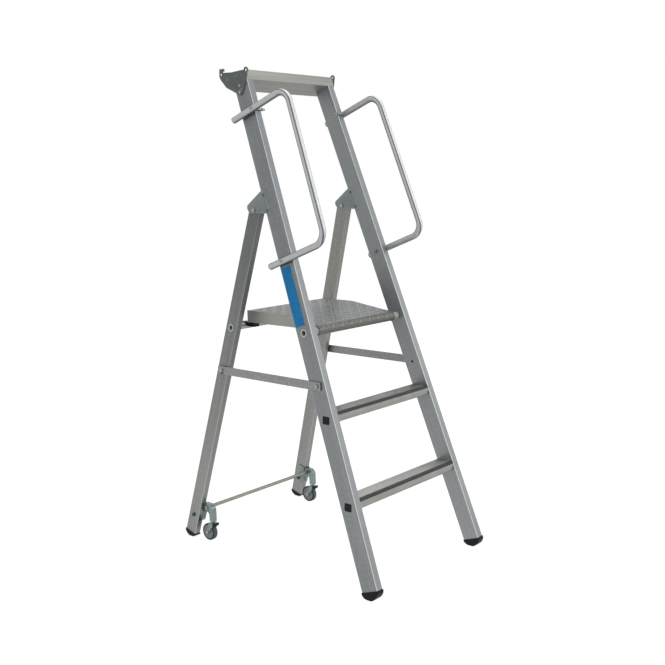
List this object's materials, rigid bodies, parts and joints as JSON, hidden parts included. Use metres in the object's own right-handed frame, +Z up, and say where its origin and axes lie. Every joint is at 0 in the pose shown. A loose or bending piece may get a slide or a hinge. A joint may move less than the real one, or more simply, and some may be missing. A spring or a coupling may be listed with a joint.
{
  "type": "podium step",
  "caption": "Folding aluminium podium step with treads, a fold-up standing platform, side handrails, a tool tray on top and sprung swivel castors at the rear legs.",
  "frame": {"origin": "middle of the footprint, on the floor", "axes": "+X to the right of someone who stands behind the step and looks at the tray, across the step; +Y from the climbing side to the rear; +Z up"},
  "size_m": [0.549, 0.846, 1.5297],
  "materials": {
    "anodised_aluminium": "satin anodised extrusion",
    "tread_aluminium": "mill finish extrusion",
    "deck_aluminium": "raised tear-plate sheet",
    "tube_aluminium": "satin tube",
    "tray_paint": "smooth warm grey paint",
    "end_plate_plastic": "dark grey moulding",
    "zinc_steel": "dull zinc plate",
    "fastener_steel": "bright zinc plate",
    "spring_steel": "oiled spring wire",
    "foot_rubber": "matt black rubber",
    "grip_rubber": "matt dark grey rubber",
    "black_plastic": "black moulding",
    "plug_plastic": "grey moulding",
    "bush_nylon": "natural nylon",
    "wheel_plastic": "grey moulding",
    "tyre_rubber": "grey non-marking rubber",
    "label_vinyl": "plain blue film"
  },
  "bodies": {
    "front_frame": {"left_stile": "anodised_aluminium", "right_stile": "anodised_aluminium", "left_front_foot": "foot_rubber", "right_front_foot": "foot_rubber", "lower_tread": "tread_aluminium", "upper_tread": "tread_aluminium", "tread_grip_strips": "grip_rubber", "tread_end_plugs": "black_plastic", "platform_pivot_tube": "tube_aluminium", "tool_tray": "tray_paint", "left_tray_end": "end_plate_plastic", "right_tray_end": "end_plate_plastic", "tray_end_screws": "fastener_steel", "left_handrail": "tube_aluminium", "right_handrail": "tube_aluminium", "handrail_end_plugs": "plug_plastic", "handrail_bolts": "fastener_steel", "handrail_nuts": "fastener_steel", "left_hinge_bracket": "zinc_steel", "right_hinge_bracket": "zinc_steel", "hinge_bracket_rivets": "fastener_steel", "leg_pivot_bolts": "fastener_steel", "stay_pivots": "fastener_steel", "stile_label": "label_vinyl"},
    "rear_frame": {"left_rear_leg": "anodised_aluminium", "right_rear_leg": "anodised_aluminium", "left_rear_foot": "foot_rubber", "right_rear_foot": "foot_rubber", "rear_cross_tube": "tube_aluminium", "leg_pivot_bushes": "bush_nylon", "stay_studs": "fastener_steel", "left_castor_bracket": "zinc_steel", "right_castor_bracket": "zinc_steel", "castor_bracket_bolts": "fastener_steel", "castor_rod": "fastener_steel", "left_castor_spring": "spring_steel", "right_castor_spring": "spring_steel"},
    "platform": {"platform_deck": "deck_aluminium", "platform_bushes": "bush_nylon", "platform_hooks": "black_plastic"},
    "left_stay": {"left_stay": "zinc_steel"},
    "right_stay": {"right_stay": "zinc_steel"},
    "left_castor_stem": {"left_castor_stem": "fastener_steel"},
    "left_castor": {"left_castor_fork": "zinc_steel", "left_castor_guard": "black_plastic", "left_castor_axle": "fastener_steel"},
    "left_wheel": {"left_wheel_core": "wheel_plastic", "left_wheel_tyre": "tyre_rubber"},
    "right_castor_stem": {"right_castor_stem": "fastener_steel"},
    "right_castor": {"right_castor_fork": "zinc_steel", "right_castor_guard": "black_plastic", "right_castor_axle": "fastener_steel"},
    "right_wheel": {"right_wheel_core": "wheel_plastic", "right_wheel_tyre": "tyre_rubber"}
  },
  "joints": [
    {"name": "rear_frame_fold", "type": "hinge", "parent": "front_frame", "child": "rear_frame", "pos_m": [0, 0.08237, 1.099], "axis": [-1, 0, 0], "range_deg": [0, 28]},
    {"name": "platform_fold", "type": "hinge", "parent": "front_frame", "child": "platform", "pos_m": [0, -0.12869, 0.742], "axis": [1, 0, 0], "range_deg": [0, 63]},
    {"name": "left_stay_swing", "type": "hinge", "parent": "front_frame", "child": "left_stay", "pos_m": [-0.24149, -0.18366, 0.592], "axis": [1, 0, 0], "range_deg": [0, 53.2]},
    {"name": "right_stay_swing", "type": "hinge", "parent": "front_frame", "child": "right_stay", "pos_m": [0.24149, -0.18366, 0.592], "axis": [1, 0, 0], "range_deg": [0, 53.2]},
    {"name": "left_castor_lift", "type": "slide", "parent": "rear_frame", "child": "left_castor_stem", "axis": [0, 0, 1], "range_m": [0, 0.005], "stiffness_N_per_m": 4000, "springref_m": -0.005, "deforming": ["left_castor_spring"]},
    {"name": "left_castor_swivel", "type": "hinge", "parent": "left_castor_stem", "child": "left_castor", "pos_m": [-0.24421, 0.30748, 0.064], "axis": [0, 0, 1], "continuous": true},
    {"name": "left_wheel_spin", "type": "hinge", "parent": "left_castor", "child": "left_wheel", "pos_m": [-0.24421, 0.32448, 0.0285], "axis": [1, 0, 0], "continuous": true},
    {"name": "right_castor_lift", "type": "slide", "parent": "rear_frame", "child": "right_castor_stem", "axis": [0, 0, 1], "range_m": [0, 0.005], "stiffness_N_per_m": 4000, "springref_m": -0.005, "deforming": ["right_castor_spring"]},
    {"name": "right_castor_swivel", "type": "hinge", "parent": "right_castor_stem", "child": "right_castor", "pos_m": [0.24421, 0.30748, 0.064], "axis": [0, 0, 1], "continuous": true},
    {"name": "right_wheel_spin", "type": "hinge", "parent": "right_castor", "child": "right_wheel", "pos_m": [0.24421, 0.32448, 0.0285], "axis": [1, 0, 0], "continuous": true}
  ],
  "couplings": [
    {"joint": "platform_fold", "follows": "rear_frame_fold", "ratio": 2.25},
    {"joint": "left_stay_swing", "follows": "rear_frame_fold", "ratio": 1.9},
    {"joint": "right_stay_swing", "follows": "rear_frame_fold", "ratio": 1.9}
  ]
}
